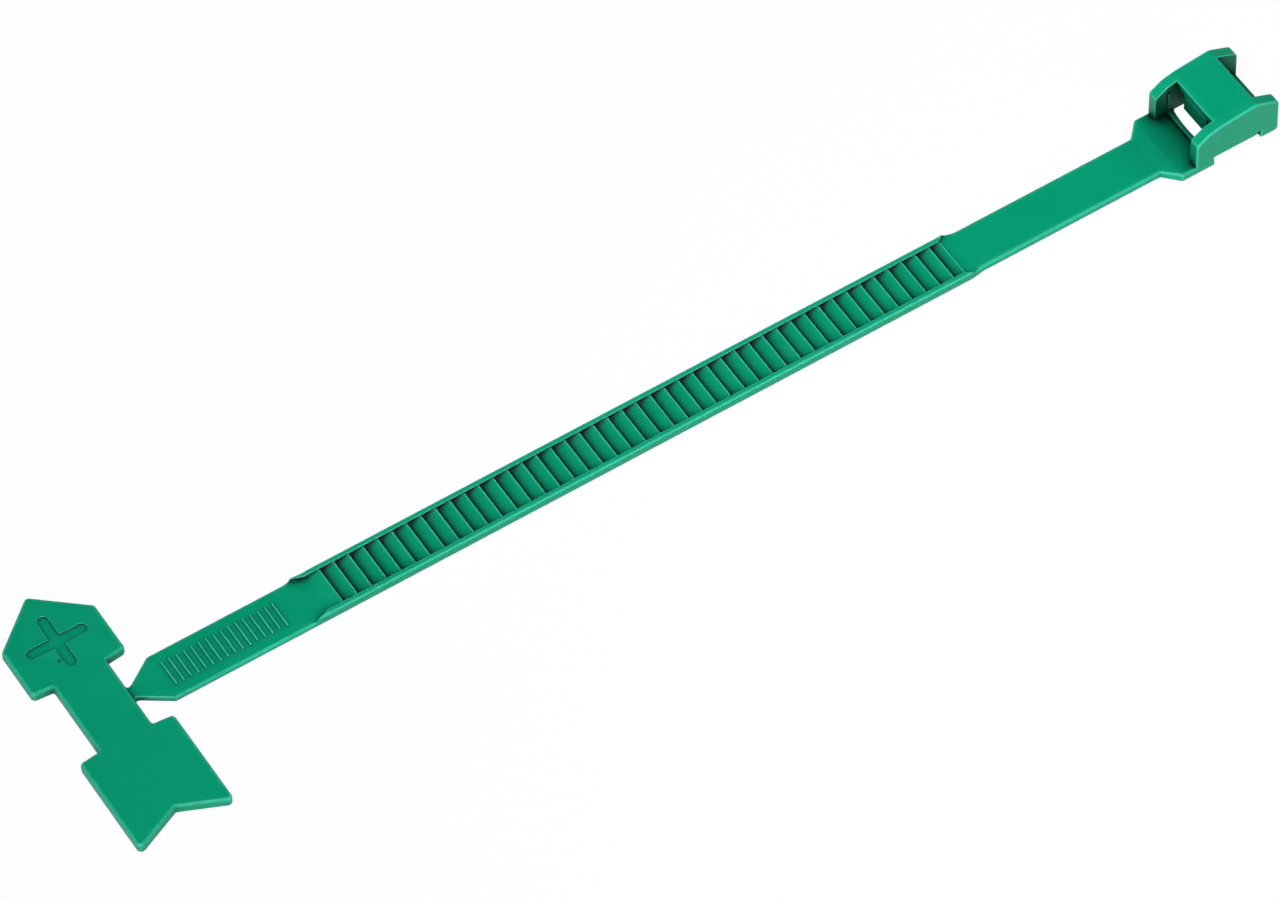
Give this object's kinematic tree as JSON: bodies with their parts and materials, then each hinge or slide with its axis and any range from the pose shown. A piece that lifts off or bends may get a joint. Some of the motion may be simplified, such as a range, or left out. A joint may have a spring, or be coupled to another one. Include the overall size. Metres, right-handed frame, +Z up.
{
  "type": "cable tie",
  "caption": "One-piece green cable tie with a toothed strap, a low locking head with a parallel passage, grip ribs and a break-off arrow marker tag.",
  "frame": {"origin": "on the underside of the strap, on its centreline, midway along the whole tie as it lies flat", "axes": "+X along the strap from the arrow tag to the locking head, +Y across the strap towards the arrow's point, +Z up out of the toothed face"},
  "size_m": [0.127, 0.0281, 0.0056],
  "materials": {
    "tie": "satin moulded nylon, green through the body"
  },
  "bodies": {
    "root": {"cable_tie": "tie"}
  },
  "joints": []
}
